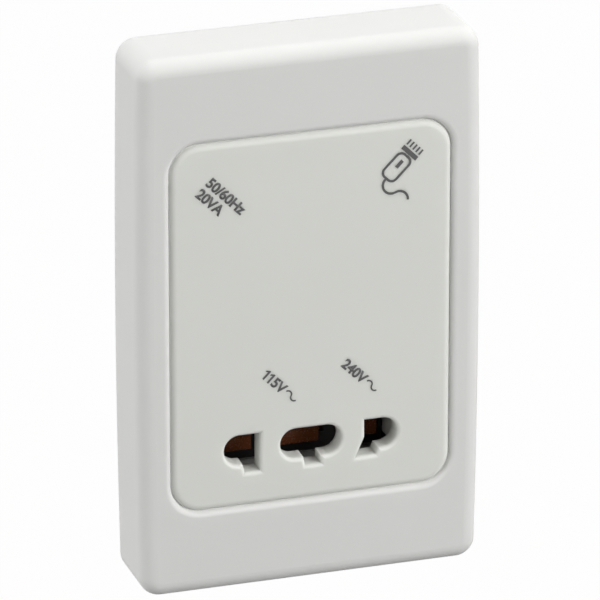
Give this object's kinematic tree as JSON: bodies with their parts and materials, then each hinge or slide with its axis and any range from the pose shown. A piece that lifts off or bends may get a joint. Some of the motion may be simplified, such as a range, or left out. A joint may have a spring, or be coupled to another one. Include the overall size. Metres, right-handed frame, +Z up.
{
  "type": "shaver socket",
  "caption": "Upright wall-plate shaver socket: clip-on surround, flush panel with shuttered pin apertures for either voltage, and an isolating transformer in the rear housing.",
  "frame": {"origin": "middle of the plate on the wall plane, half way between the two fixing holes", "axes": "+Z up, +Y into the wall, the front faces -Y, +X to the right seen from the front"},
  "size_m": [0.073, 0.0543, 0.1158],
  "materials": {
    "bobbin_plastic": "black moulding",
    "carrier_plastic": "black moulding",
    "clamp_steel": "folded sheet, zinc plated",
    "contact_brass": "pressed strip",
    "core_steel": "stacked sheets, varnished",
    "cover_plastic": "moulded, satin sheen",
    "cutout_plastic": "moulded case",
    "grid_plastic": "moulded",
    "housing_plastic": "moulded, plain",
    "panel_plastic": "moulded, satin sheen, slightly warmer than the surround",
    "screw_steel": "zinc plated",
    "shutter_plastic": "dark brown moulding",
    "spring_steel": "drawn wire",
    "winding_copper": "enamelled copper wire"
  },
  "bodies": {
    "socket": {"carrier_screws": "screw_steel", "clamp_screws": "screw_steel", "coil_bobbin": "bobbin_plastic", "contact_115v": "contact_brass", "contact_240v": "contact_brass", "contact_carrier": "carrier_plastic", "contact_common": "contact_brass", "core_clamp": "clamp_steel", "core_e_stack": "core_steel", "core_i_stack": "core_steel", "cover_surround": "cover_plastic", "front_panel": "panel_plastic", "grid_plate": "grid_plastic", "housing_screws": "screw_steel", "primary_winding": "winding_copper", "rear_housing": "housing_plastic", "secondary_winding": "winding_copper", "shutter_spring": "spring_steel", "terminal_active": "contact_brass", "terminal_neutral": "contact_brass", "terminal_screws": "screw_steel", "thermal_cutout": "cutout_plastic"},
    "shutter": {"pin_shutter": "shutter_plastic"}
  },
  "joints": [
    {"name": "shutter_lift", "type": "slide", "parent": "socket", "child": "shutter", "axis": [0, 0, 1], "range_m": [0, 0.0075], "stiffness_N_per_m": 150, "springref_m": -0.005, "deforming": ["shutter_spring"]}
  ]
}
